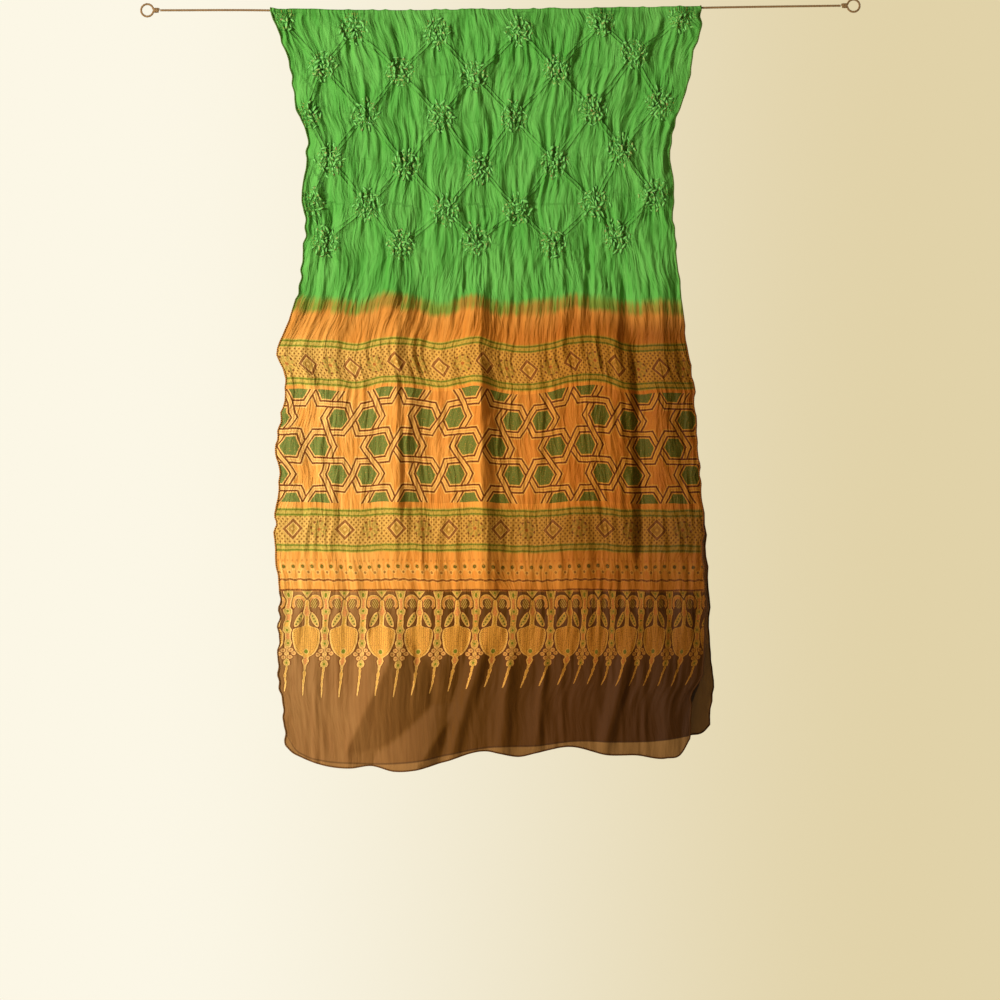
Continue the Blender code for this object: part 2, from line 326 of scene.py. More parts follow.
# %% Edges and hems
FRONT_LEFT_EDGE = (
    (0, 26, 62, 103, 140, 169, 200, 239, 282, 328, 398, 433, 452, 484, 533, 569, 608, 640, 712, 755,
     822, 887, 924, 958),
    (-285, -276, -263, -255, -248, -237, -238, -243, -239, -242, -256, -271, -275, -265, -270, -277,
     -272, -276, -278, -273, -274, -273, -268, -265),
)
FRONT_RIGHT_EDGE = (
    (0, 29, 55, 83, 118, 147, 177, 237, 269, 300, 354, 394, 443, 490, 555, 601, 666, 732, 775, 841,
     881, 900, 918, 949),
    (274, 272, 265, 260, 250, 240, 235, 238, 237, 239, 247, 251, 256, 264, 268, 272, 276, 277, 280,
     276, 272, 264, 261, 260),
)
BACK_RIGHT_EDGE = (
    (0, 29, 55, 83, 118, 147, 177, 237, 300, 354, 443, 490, 555, 598, 640, 681, 727, 802, 837, 868,
     904, 935),
    (274, 272, 265, 260, 250, 240, 235, 238, 239, 247, 256, 262, 267, 270, 276, 280, 283, 285, 285,
     287, 292, 286),
)
FRONT_HEM = (
    (0, 0.015, 0.04, 0.1, 0.16, 0.21, 0.27, 0.32, 0.39, 0.5, 0.53, 0.575, 0.62, 0.7, 0.8, 0.865,
     0.94, 0.98, 1),
    (958, 966, 973, 984, 987, 984, 991, 989, 979, 965, 968, 972, 967, 959, 970, 970, 974, 967, 949),
)
BACK_HEM = (
    (0, 0.02, 0.045, 0.09, 0.16, 0.21, 0.31, 0.38, 0.48, 0.59, 0.68, 0.79, 0.88, 0.955, 0.985, 1),
    (940, 962, 972, 979, 982, 983, 979, 971, 961, 959, 953, 954, 952, 945, 941, 932),
)
HEM_WAVE_REACH = 0.150
STAND_OFF = {
    "drop": (0, 60, 200, 400, 974),
    "front": (0.0, 3.0, 5.0, 8.0, 8.0),
    "back": (0.0, 2.0, 4.0, 5.0, 5.0),
}


def side_edges(drop, front):
    edge = FRONT_RIGHT_EDGE if front else BACK_RIGHT_EDGE
    return smooth_table(*FRONT_LEFT_EDGE, drop / MM) * MM, smooth_table(*edge, drop / MM) * MM


# %% [markdown]
# ## The tied clusters
# A tier pinches up points of cloth in a diamond and binds each before the dye. The puckers stay:
# each cluster is a low dome that draws the cloth in, with taut creases between neighbours. A row
# of clusters is millimetres down, then millimetres across.

# %% Where the clusters are, and what they do to the cloth
CLUSTER_ROWS = (
    ((14, 25, 31, 29, 17, 12), (-272, -177, -69, 38, 143, 250)),
    ((75, 83, 88, 81, 60), (-217, -117, -20, 86, 187)),
    ((142, 139, 143, 143, 133, 125), (-239, -162, -64, 31, 133, 220)),
    ((198, 205, 209, 202, 185), (-207, -109, -13, 84, 170)),
    ((255, 257, 264, 263, 254, 244), (-233, -159, -58, 36, 135, 213)),
    ((306, 309, 304, 308, 299), (-213, -116, -18, 82, 165)),
)
CLUSTER_RADIUS = 21 * MM
CLUSTER_HEIGHT = 1.6 * MM
CLUSTER_PULL = 0.30
PULL_REACH = 32 * MM
PULL_FREE_SHARE = 0.06
PULL_FREE_DROP = 12 * MM
TIED_RELIEF_START = 9 * MM
TAUT_CREASE_REACH = 95 * MM
TAUT_CREASE_SLANT = 0.4
TAUT_CREASE_HEIGHT = 1.6 * MM
TAUT_CREASE_WIDTH = 6 * MM


def clusters(front):
    mirror = MM if front else -MM
    return [
        (mirror * across, drop * MM)
        for drops, places in CLUSTER_ROWS for drop, across in zip(drops, places)
    ]


def taut_pairs(places):
    return [
        (first, second) for first in places for second in places
        if second[1] - first[1] > TAUT_CREASE_SLANT * abs(second[0] - first[0])
        and math.dist(first, second) < TAUT_CREASE_REACH
    ]


def along_segment(x, drop, start, end):
    run = np.subtract(end, start)
    share = ((x - start[0]) * run[0] + (drop - start[1]) * run[1]) / np.dot(run, run)
    held = np.clip(share, 0.0, 1.0)
    away = np.hypot(x - start[0] - held * run[0], drop - start[1] - held * run[1])
    side = ((x - start[0]) * run[1] - (drop - start[1]) * run[0]) / np.hypot(*run)
    return side, away, share


def ties_near(x, drop, places, reach):
    bells = [bell(np.hypot(x - across, drop - down), reach) for across, down in places]
    return np.max(bells, axis=0)


print("clusters on each half:", len(clusters(True)))

# %% [markdown]
# ## Pleats that run into the ties
# Spare cloth stands up in sharp little pleats that fan out above and below a cluster, and a taut
# crease is two thin ridges with a groove between. Both are finer than the sheet's faces, so
# `fine_lines` says where each place is in its crease and its fan, for a bump to read later.

# %% The relief of the tied field
PLEAT_REACH = (22 * MM, 40 * MM)
PLEAT_COUNT = 20
PLEAT_HEIGHT = 1.8 * MM
FINE_CREASE_REACH = 8.0 * MM
KNOTTED_REACH = 16 * MM
KNOTTED_HEIGHT = 2.4 * MM
PLEAT_CORE = 10 * MM
PLEAT_START = 12 * MM
CREASE_BEND = 3 * MM
CREASE_BEND_CELL = 18 * MM
FAR_AWAY = 99.0


def fine_lines(x, drop, places):
    shape = {
        "crease_side": x * 0 + FAR_AWAY, "crease_near": x * 0, "fan": x * 0, "fan_near": x * 0,
    }

    def take(closer, **values):
        for name, value in values.items():
            shape[name] = np.where(closer, value, shape[name])

    bend = (patchy(x / CREASE_BEND_CELL, drop / CREASE_BEND_CELL, 5) - 0.5) * CREASE_BEND
    nearest = x * 0 + FAR_AWAY
    for first, second in taut_pairs(places):
        side, away, _ = along_segment(x, drop, first, second)
        closer = away < nearest
        nearest = np.where(closer, away, nearest)
        take(closer, crease_side=(side + bend) / MM, crease_near=bell(away, FINE_CREASE_REACH))
    for number, (across, down) in enumerate(places):
        sideways, below = x - across + bend * 0.6, drop - down
        spread = np.arctan2(sideways, np.abs(below) + PLEAT_CORE)
        near = bell(sideways, PLEAT_REACH[0]) * bell(below, PLEAT_REACH[1])
        near = near * (1 - bell(np.hypot(sideways, below), PLEAT_CORE))
        near = near * ease(np.abs(below) / PLEAT_START)
        turn = spread * PLEAT_COUNT / 2 + number * 1.7 + np.sign(below)
        take(near > shape["fan_near"], fan=turn, fan_near=near)
    return shape


def tied_relief(x, drop, places):
    relief = np.zeros_like(x)
    for across, down in places:
        relief += CLUSTER_HEIGHT * bell(np.hypot(x - across, drop - down), CLUSTER_RADIUS)
    for first, second in taut_pairs(places):
        _, away, _ = along_segment(x, drop, first, second)
        relief = np.maximum(relief, TAUT_CREASE_HEIGHT * bell(away, TAUT_CREASE_WIDTH))
    fine = fine_lines(x, drop, places)
    return relief + PLEAT_HEIGHT * (1 - np.abs(np.sin(fine["fan"]))) * fine["fan_near"]


def pulled_in(x, drop, places):
    shift_x = np.zeros_like(x)
    shift_drop = np.zeros_like(x)
    for across, down in places:
        pull = CLUSTER_PULL * bell(np.hypot(x - across, drop - down), PULL_REACH)
        shift_x += pull * (across - x)
        shift_drop += pull * (down - drop)
    return shift_x, shift_drop


# %% [markdown]
# ## The folds of the plain ends
# A cloth solver would give other folds than the photo shows, so they are listed one by one. Each
# row is one fold, in millimetres: across and drop of its top, across and drop of its low end, half
# width, height. Low at the left the cloth is creased into flat facets, each between three points
# of a table: across, drop and height.

# %% The main folds
FRONT_FOLDS = (
    (-121, 388, -120, 670, 22, 7), (-88, 360, -84, 640, 20, -5), (-18, 400, -6, 730, 20, 9),
    (18, 400, 30, 720, 20, -4), (110, 400, 117, 730, 34, 5), (160, 400, 178, 690, 20, 6),
    (189, 430, 198, 690, 20, -7), (216, 350, 226, 560, 22, 6), (-250, 470, -218, 502, 14, 5),
    (-14, 850, -50, 962, 10, 7), (-44, 880, -64, 985, 12, -5), (24, 866, 16, 962, 10, 6),
    (68, 880, 62, 944, 7, 4), (172, 862, 154, 944, 9, 6), (226, 850, 232, 950, 14, 4),
)
BACK_FOLDS = (
    (-190, 350, -180, 960, 34, 6), (-120, 380, -110, 940, 28, -4), (-40, 330, -60, 960, 36, 7),
    (40, 420, 50, 940, 30, -4), (120, 350, 140, 960, 34, 7), (220, 420, 240, 900, 26, 5),
)
FRONT_CREASES = (
    (-121, 385, -119, 630, 5, 2.4), (-114, 385, -112, 630, 5, -2.2), (-10, 480, -12, 720, 4, 1.8),
    (-12, 500, -6, 720, 8, 4), (173, 325, 178, 420, 9, -4), (178, 420, 186, 690, 5, 2),
    (190, 410, 196, 700, 5, -2.4), (-196, 360, -202, 660, 4, 1.3), (-160, 390, -165, 620, 4, 1.2),
    (-52, 370, -48, 560, 4, 1.2), (62, 380, 66, 640, 5, 1.4), (95, 350, 92, 520, 4, 1.1),
    (136, 360, 140, 600, 4, 1.1), (-262, 452, -214, 508, 4, 1.8), (-40, 438, -2, 536, 4, 2.2),
    (-226, 850, -228, 975, 4, 1.2), (-186, 860, -184, 970, 4, 1), (199, 840, 201, 965, 4, 1.2),
    (92, 850, 94, 960, 4, 1),
)
FACET_POINTS = {
    "a": (-131, 782, 0), "b": (-182, 854, 0), "c": (-131, 850, 18), "d": (-189, 958, 0),
    "e": (-146, 954, -8), "f": (-74, 902, -8), "g": (-103, 984, 16), "h": (-160, 1000, 2),
    "i": (-66, 1000, 0), "j": (-40, 906, 0), "k": (-78, 854, 0),
}
FACETS = "ack abc bdc dec cef cfk kfj fgj egf dhe hge gij hig".split()
FOLD_END_REACH = 30 * MM


def facet_relief(x, drop):
    relief = np.zeros_like(x)
    for corners in FACETS:
        (ax, ay, ah), (bx, by, bh), (cx, cy, ch) = (FACET_POINTS[name] for name in corners)
        whole = (by - cy) * (ax - cx) + (cx - bx) * (ay - cy)
        first = ((by - cy) * (x / MM - cx) + (cx - bx) * (drop / MM - cy)) / whole
        second = ((cy - ay) * (x / MM - cx) + (ax - cx) * (drop / MM - cy)) / whole
        third = 1 - first - second
        inside = (first >= 0) & (second >= 0) & (third > 0)
        relief = np.where(inside, (first * ah + second * bh + third * ch) * MM, relief)
    return relief


def fold_relief(x, drop, folds):
    relief = np.zeros_like(x)
    for top_across, top_drop, low_across, low_drop, half_width, height in folds:
        start, end = (top_across * MM, top_drop * MM), (low_across * MM, low_drop * MM)
        side, _, share = along_segment(x, drop, start, end)
        past = np.maximum(np.maximum(-share, share - 1), 0.0) * math.dist(start, end)
        relief += height * MM * bell(side, half_width * MM) * bell(past, FOLD_END_REACH)
    return relief


print("folds and creases on the front:", len(FRONT_FOLDS) + len(FRONT_CREASES))

# %% [markdown]
# ## Crinkle
# Wet silk dries with a fine crinkle that runs down the cloth. It belongs to the flat cloth and
# not to the way it hangs. Noise that drifts slowly aside looks like cloth. Even waves would not.

# %% The crinkle's layers
CRINKLES = (
    {"cell": (24.0, 150.0), "height": 2.8, "wander": 6.0, "seed": 1},
    {"cell": (12.0, 62.0), "height": 2.4, "wander": 5.0, "seed": 2},
    {"cell": (6.5, 34.0), "height": 1.6, "wander": 3.0, "seed": 3},
)
CRINKLE_IN_TIED = 1.6
CRINKLE_NEAR_HEM = 0.45


def crinkle(across, length, front):
    relief = np.zeros_like(across)
    u, v = across / MM, length / MM
    for layer in CRINKLES:
        seed = layer["seed"] + (0 if front else 10)
        aside = (patchy(u / 60, v / 70, seed + 20) - 0.5) * layer["wander"] * 2
        crest = ridged((u + aside) / layer["cell"][0], v / layer["cell"][1], seed)
        relief += layer["height"] * MM * (crest - 0.5)
    return relief


# %% [markdown]
# ## Bands that sway
# The ties pull harder at some places, so the printed bands below them rise and fall a little.
# Further down the cloth evens this out.

# %% How much lower each place hangs
SWAY = (
    (-250, -199, -169, -138, -121, -91, -64, -43, -17, 13, 52, 73, 104, 157, 168, 221, 247),
    (-2.6, 0.5, 3.9, -5.2, -5.6, -2.6, 3.4, -1.6, -6.5, 3.4, 7.4, 4.4, -5.5, -3.5, 2.5, 5.2, 5.2),
)
SWAY_SHARE = 0.8
# Where the sway starts, calms down and ends: the drop, and how far the change takes.
SWAY_STARTS = (0.30, 0.10)
SWAY_CALMS = (0.47, 0.14)
SWAY_ENDS = (0.66, 0.15)
SWAY_CALMED = 0.7


def sway(x, drop):
    start, calm, end = (
        ease((drop - place) / reach) for place, reach in (SWAY_STARTS, SWAY_CALMS, SWAY_ENDS)
    )
    strength = start * (1 - SWAY_CALMED * calm) * (1 - end)
    return smooth_table(*SWAY, x / MM) * MM * strength * SWAY_SHARE


# %% [markdown]
# ## One point of the cloth
# A place on the flat cloth goes in, and its place as it hangs comes out. Near the line the cloth
# lies smooth over the bend.

# %% From flat to hung
FOLD_BUMP = 2.2 * MM
FOLD_BUMP_CELL = 16 * MM
TIED_CRINKLE_END = 0.36
TIED_CRINKLE_FADE = 0.08
HEM_CRINKLE_FADE = 0.2
PUCKER_CELL = (6.6 * MM, 8.5 * MM)
EDGE_SHARE = 0.05
EDGE_WANDER = 4 * MM
EDGE_WANDER_CELL = 11 * MM


def drop_of_length(length):
    tied = length * TIED_DROP / TIED_LENGTH
    return np.where(length < TIED_LENGTH, tied, TIED_DROP + length - TIED_LENGTH)


def hang(x, drop, share, length, front):
    full_drop = FRONT_DROP if front else BACK_DROP
    hem = FRONT_HEM if front else BACK_HEM
    places = clusters(front)
    risen = ease(drop / TIED_RELIEF_START)
    relief = tied_relief(x, drop, places) * risen
    relief += fold_relief(x, drop, FRONT_FOLDS if front else BACK_FOLDS)
    if front:
        relief += fold_relief(x, drop, FRONT_CREASES)
        relief += facet_relief(x, drop)
    out_of_ties = ease((drop - TIED_CRINKLE_END) / TIED_CRINKLE_FADE)
    to_hem = ease((drop - full_drop) / HEM_CRINKLE_FADE + 1)
    strength = 1 + (CRINKLE_IN_TIED - 1) * (1 - out_of_ties) - (1 - CRINKLE_NEAR_HEM) * to_hem
    relief += crinkle(share * CLOTH_WIDTH, length, front) * strength * risen
    pucker = ridged(x / PUCKER_CELL[0], drop / PUCKER_CELL[1], 7) * KNOTTED_HEIGHT
    relief += pucker * ties_near(x, drop, places, KNOTTED_REACH) * risen

    shift_x, shift_drop = pulled_in(x, drop, places)
    held = ease(share / PULL_FREE_SHARE) * ease((1 - share) / PULL_FREE_SHARE)
    held = held * ease(drop / PULL_FREE_DROP)
    border = 1 - ease(share / EDGE_SHARE) * ease((1 - share) / EDGE_SHARE)
    wander = (patchy(drop / EDGE_WANDER_CELL, share * 2, 9) - 0.5) * EDGE_WANDER
    x = x + shift_x * held + wander * border
    shift_drop = shift_drop * held + sway(x, drop)

    hem_drop = smooth_table(*hem, share) * MM
    hem_reach = ease((drop - full_drop) / HEM_WAVE_REACH + 1)
    down = drop + shift_drop + (hem_drop - full_drop) * hem_reach
    z = TOP_LEVEL + (line_height(x) - TOP_LEVEL) * bell(drop, LINE_LEVEL_REACH) - down

    stand_off = np.interp(drop / MM, STAND_OFF["drop"], STAND_OFF["front" if front else "back"])
    away = FOLD_RADIUS + np.maximum(stand_off * MM + relief, 0.0)
    return np.stack([x, -away if front else away, z], axis=-1)


def fold_surface(share, turn):
    left, right = side_edges(np.zeros_like(share), True)
    x = left + (right - left) * share
    rise = np.sin(np.pi * turn)
    lifted = FOLD_BUMP * np.maximum(ridged(x / FOLD_BUMP_CELL, x * 0, 31) - 0.35, 0.0) * rise
    y = np.full_like(x, -FOLD_RADIUS * np.cos(np.pi * turn))
    return np.stack([x, y, line_height(x) + (FOLD_RADIUS + lifted) * rise], axis=-1)


# %% [markdown]
# ## The sheet
# The cloth is one grid from the front hem, over the line, to the back hem, with closer rows in
# the tied field. The UV map keeps how far across and how far along, over the cloth's length, so
# that the dye and the print follow the cloth.

# %% Lay out the rows
COLUMNS = 270
FRONT_ROWS = {"tied": 144, "plain": 116}
BACK_ROWS = {"tied": 62, "plain": 38}
FOLD_ROWS = 8


def half_lengths(rows, full):
    tied = np.linspace(0, TIED_LENGTH, rows["tied"] + 1)[1:]
    plain = np.linspace(0, 1, rows["plain"] + 1)[1:] ** 0.75
    return np.concatenate([tied, TIED_LENGTH + (full - TIED_LENGTH) * plain])


front_lengths = half_lengths(FRONT_ROWS, FRONT_LENGTH)[::-1]
back_lengths = half_lengths(BACK_ROWS, CLOTH_LENGTH - FRONT_LENGTH)
fold_steps = np.linspace(0, 1, FOLD_ROWS + 1)
share = np.linspace(0, 1, COLUMNS + 1)
flat_lengths = FRONT_LENGTH + np.concatenate([
    -front_lengths, (fold_steps - 0.5) * math.pi * FOLD_RADIUS, back_lengths,
])
print("rows: %d, triangles: %d" % (len(flat_lengths), 2 * COLUMNS * (len(flat_lengths) - 1)))

# %% Shape the sheet
def laid_out(lengths, front):
    shares, lengths = np.meshgrid(share, lengths)
    drop = drop_of_length(lengths)
    left, right = side_edges(drop, front)
    return left + (right - left) * shares, drop, shares, lengths


front_grid = laid_out(front_lengths, True)
back_grid = laid_out(back_lengths, False)
cloth_place = np.concatenate([
    hang(*front_grid, True),
    np.stack([fold_surface(share, step) for step in fold_steps]),
    hang(*back_grid, False),
])
cloth_flat = np.stack(np.meshgrid(share * CLOTH_WIDTH, flat_lengths), axis=-1) / CLOTH_LENGTH
cloth_mesh, cloth_row, cloth_column = grid_mesh("stole_cloth", cloth_place, cloth_flat)
cloth = show("stole_cloth", cloth_mesh)
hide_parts("stole")
print("sheet:", len(cloth_mesh.polygons), "faces")

# %% [markdown]
# ## What the colours and the bump need to know
# The green is painted darker around the bound points, as painted shade in the valleys around
# them, and the silk is painted paler where only one layer hangs, as painted light that shows
# through it. Attributes on the sheet's points keep both, and the fine lines too.

# %% Store the ties, the fine lines and the single layer
TIED_AREA_REACH = 17 * MM
SINGLE_SOFTNESS = 20


def point_value(mesh, name, values):
    write(mesh.attributes.new(name, "FLOAT", "POINT").data, "value", values)


def mark(name, parts):
    point_value(cloth_mesh, name, np.concatenate(parts)[cloth_row, cloth_column])


def single_layer(place, other_front):
    down = (TOP_LEVEL - place[..., 2]) / MM
    hem = FRONT_HEM if other_front else BACK_HEM
    left, right = side_edges(down * MM, other_front)
    share_there = np.clip((place[..., 0] - left) / (right - left), 0, 1)
    below = down - smooth_table(*hem, share_there)
    outside = (place[..., 0] - right) / MM
    return np.clip(np.maximum(below, outside) / SINGLE_SOFTNESS + 0.5, 0.0, 1.0)


top_row = len(front_lengths) + FOLD_ROWS // 2
halves = ((cloth_place[:top_row], True), (cloth_place[top_row:], False))
mark("tied", [
    ties_near(place[..., 0], TOP_LEVEL - place[..., 2], clusters(front), TIED_AREA_REACH)
    for place, front in halves
])
mark("single", [single_layer(place, not front) for place, front in halves])
front_lines = fine_lines(*front_grid[:2], clusters(True))
back_lines = fine_lines(*back_grid[:2], clusters(False))
for name in front_lines:
    mark(name, [front_lines[name], np.zeros((FOLD_ROWS + 1, COLUMNS + 1)), back_lines[name]])
print("attributes:", [kept.name for kept in cloth_mesh.attributes if kept.data_type == "FLOAT"])

# %% [markdown]
# ## The puckered points
# Each tied point is a small nub of cloth, longer than wide. One nub is a low sphere from an
# operator, and every other nub is a copy, moved, turned and scaled a little differently.

# %% Place the nubs of every cluster
NUB_SIZE = (1.6 * MM, 1.1 * MM, 3.9 * MM)
NUB_STEP = (8.2 * MM, 8.58 * MM)
NUB_ROWS = ((-2.6, 2), (-1.75, 4), (-0.9, 5), (-0.05, 6), (0.8, 5), (1.65, 4), (2.5, 2))
NUB_SCATTER = 1.3 * MM
NUB_MARGIN = 0.018
chance = np.random.default_rng(7)


def nub_places(front):
    found = []
    for across, down in clusters(front):
        for level, count in NUB_ROWS:
            for place in range(count):
                sideways = (place - (count - 1) / 2) * NUB_STEP[0] + chance.normal(0, NUB_SCATTER)
                below = level * NUB_STEP[1] + chance.normal(0, NUB_SCATTER)
                found.append((across + sideways, down + below))
    return np.array(found)


def nub_mesh(front):
    wanted = nub_places(front)
    left, right = side_edges(wanted[:, 1], front)
    share = (wanted[:, 0] - left) / (right - left)
    inside = (np.abs(share - 0.5) < 0.5 - NUB_MARGIN) & (wanted[:, 1] > 5 * MM)
    (x, drop), share = wanted[inside].T, share[inside]
    middles = hang(x, drop, share, drop * TIED_LENGTH / TIED_DROP, front)
    shape = bmesh.new()
    bmesh.ops.create_uvsphere(shape, u_segments=7, v_segments=5, radius=1.0)
    one = finished(shape, bpy.data.meshes.new("one_nub"))
    points = read(one.vertices, "co", 3).reshape(-1, 3)
    count = len(middles)
    size = np.array(NUB_SIZE) * chance.normal(1.0, 0.20, (count, 3))
    tilt = chance.normal(0, 0.75, count)[:, None]
    x, y, z = np.moveaxis(points * size[:, None], -1, 0)
    leant = (x * np.cos(tilt) + z * np.sin(tilt), y, z * np.cos(tilt) - x * np.sin(tilt))
    shape = bmesh.new()
    for _ in range(count):
        shape.from_mesh(one)
    mesh = finished(shape, bpy.data.meshes.new("nubs"))
    bpy.data.meshes.remove(one)
    write(mesh.vertices, "co", np.stack(leant, -1) + middles[:, None])
    # How far out each point of a nub lies, for the nub's painted shade and painted highlight.
    point_value(mesh, "tip", np.tile(np.abs(points[:, 1]), count))
    point_value(mesh, "fleck", np.repeat(chance.random(count), len(points)))
    mesh.shade_smooth()
    return mesh


nub_pieces = []
for name, front in (("front_tied_points", True), ("back_tied_points", False)):
    nub_pieces.append(show(name, nub_mesh(front)))
    print(name, len(nub_pieces[-1].data.polygons), "faces")


# %% [markdown]
# ## The rolled hem
# All four edges are rolled to a thin cord. Its path is the sheet's outer points in order.

# %% Roll the hem around the border
HEM_RADIUS = 1.0 * MM
HEM_SIDES = 6


def hem_mesh(place, flat):
    path, label = (
        np.concatenate([grid[0, :-1], grid[:-1, -1], grid[-1, :0:-1], grid[::-1, 0]])
        for grid in (place, flat)
    )
    forward = unit(np.gradient(path, axis=0), 1e-9)
    out = np.cross(forward, (0.0, 1.0, 0.0))
    out[np.linalg.norm(out, axis=1) < 0.3] = (1.0, 0.0, 0.0)
    out = unit(out)
    up = unit(np.cross(out, forward))
    turn = around(HEM_SIDES)[..., None]
    ring = HEM_RADIUS * (np.cos(turn) * out + np.sin(turn) * up)
    labels = np.broadcast_to(label, (HEM_SIDES + 1,) + label.shape)
    return grid_mesh("rolled_hem", path + ring, labels, wrap=True)[0]


hem = show("rolled_hem", hem_mesh(cloth_place, cloth_flat))
print("hem:", len(hem.data.polygons), "faces")

# %% [markdown]
# ## Writing a material as sums
# A pattern on cloth is mostly distances and thresholds. One small class wraps a socket, and a
# sum on two of them adds the node that works it out.

# %% A socket that can be added, multiplied and compared
def operator(operation, turned=False):
    def work(self, *others):
        values = (self, *others)
        return self.math(operation, *(values[::-1] if turned else values))

    return work


class Paint:
    def __init__(self, tree, socket=None):
        self.tree = tree
        self.socket = socket

    def node(self, kind, settings=None, inputs=None, output=0):
        made = self.tree.nodes.new(kind)
        for name, value in (settings or {}).items():
            setattr(made, name, value)
        for place, value in (inputs or {}).items():
            if isinstance(value, Paint):
                self.tree.links.new(value.socket, made.inputs[place])
            else:
                made.inputs[place].default_value = value
        return Paint(self.tree, made.outputs[output])

    def feed(self, shader, name):
        self.tree.links.new(self.socket, shader.inputs[name])

    def math(self, operation, *values):
        return self.node("ShaderNodeMath", {"operation": operation}, dict(enumerate(values)))

    __add__ = __radd__ = operator("ADD")
    __sub__ = operator("SUBTRACT")
    __rsub__ = operator("SUBTRACT", turned=True)
    __mul__ = __rmul__ = operator("MULTIPLY")
    __truediv__ = operator("DIVIDE")
    __gt__ = operator("GREATER_THAN")
    __lt__ = operator("LESS_THAN")
    __abs__ = operator("ABSOLUTE")
    floor = operator("FLOOR")
    fraction = operator("FRACT")
    wave = operator("SINE")
    least = operator("MINIMUM")
    most = operator("MAXIMUM")

    def reach(self, other):
        """How far the place (this, other) is from the middle."""
        return self.math("SQRT", self.math("MULTIPLY_ADD", self, self, other * other))

    def between(self, low, high):
        return (self > low) * (self < high)

    def every(self, pitch, start=0.0):
        """The place within a repeat, with 0 at the middle of each."""
        return ((self - start) / pitch + 0.5).fraction() * pitch - pitch / 2

    def rise(self, low, high):
        settings = {"interpolation_type": "SMOOTHSTEP"}
        return self.node("ShaderNodeMapRange", settings, {0: self, 1: low, 2: high})

    def mix(self, first, second, blend="MIX"):
        """Goes from the first colour to the second as this value goes from 0 to 1."""
        settings = {"data_type": "RGBA", "blend_type": blend}
        return self.node("ShaderNodeMix", settings, {0: self, 6: first, 7: second}, output=2)

    def ramp(self, stops, kind="LINEAR"):
        made = self.node("ShaderNodeValToRGB", None, {0: self})
        bar = made.socket.node.color_ramp
        bar.interpolation = kind
        while len(bar.elements) < len(stops):
            bar.elements.new(0.5)
        for element, (place, shown) in zip(bar.elements, stops):
            element.position = place
            element.color = shown if len(shown) == 4 else (*shown, 1.0)
        return made

    def at(self, other):
        """The place (this, other), for a noise."""
        return self.node("ShaderNodeCombineXYZ", None, {0: self, 1: other})

    def parts(self, kind="ShaderNodeSeparateXYZ"):
        split = self.node(kind, None, {0: self}).socket.node
        return [Paint(self.tree, socket) for socket in split.outputs]

    def noise(self, scale, detail=2.0, rough=0.5, output=0):
        inputs = {"Vector": self, "Scale": scale, "Detail": detail, "Roughness": rough}
        return self.node("ShaderNodeTexNoise", None, inputs, output)

    def crest(self, scale):
        """Noise with a sharp crest wherever it passes its middle."""
        return 1 - abs(self.noise(scale, 1.0) - 0.5) * 2

    def bump(self, strength, depth, shader):
        inputs = {"Strength": strength, "Distance": depth, "Height": self}
        self.node("ShaderNodeBump", None, inputs).feed(shader, "Normal")


def stored(tree, name):
    return Paint(tree).node("ShaderNodeAttribute", {"attribute_name": name}, output=2)


def lay(shade, *layers):
    """Lays colours on a ground in turn. A layer is how much of it covers, and its colour."""
    for much, over in layers:
        shade = much.mix(shade, over)
    return shade


def colour(red, green, blue):
    """A colour as a screen shows it, from 0 to 255, made linear for the shader."""
    linear = []
    for value in (red / 255, green / 255, blue / 255):
        linear.append(value / 12.92 if value <= 0.04045 else ((value + 0.055) / 1.055) ** 2.4)
    return (*linear, 1.0)


def new_material(name, pieces, **constants):
    made = bpy.data.materials.new(name)
    made.use_nodes = True
    for piece in pieces:
        piece.data.materials.append(made)
    shader = made.node_tree.nodes["Principled BSDF"]
    for key, value in constants.items():
        shader.inputs[key.replace("_", " ")].default_value = value
    return made.node_tree, shader


def flat_place(tree):
    """Millimetres across, millimetres from the nearer hem, and millimetres along."""
    start = Paint(tree).node("ShaderNodeUVMap", {"uv_map": "flat"})
    across, along = (part * (CLOTH_LENGTH / MM) for part in start.parts()[:2])
    return across, along.least(CLOTH_LENGTH / MM - along), along


# %% [markdown]
# ## Dip dye
# Three baths: green over the tied middle, orange over the ends, brown at the hems. Dye creeps up
# wet cloth, so the borders are uneven, and where orange meets green they mix to olive.

# %% Colours of the three baths
GREEN_DEEP = colour(72, 144, 52)
GREEN_LIGHT = colour(97, 165, 73)
ORANGE = colour(220, 142, 56)
ORANGE_PALE = colour(242, 172, 86)
ORANGE_DEEP = colour(168, 106, 34)
OLIVE = colour(112, 134, 46)
OLIVE_BROWN = colour(150, 116, 42)
BROWN = colour(138, 94, 50)
BROWN_PALE = colour(156, 112, 64)
BROWN_SIDE_SHADE = colour(100, 66, 20)
OCHRE = colour(206, 158, 66)
STRAW = colour(194, 154, 72)
GOLD = colour(226, 168, 76)
CREAM = colour(238, 190, 108)
DARK = colour(104, 44, 14)
LEAF = colour(90, 118, 54)
PRINT_GREEN = colour(104, 130, 24)
RUST = colour(164, 84, 34)


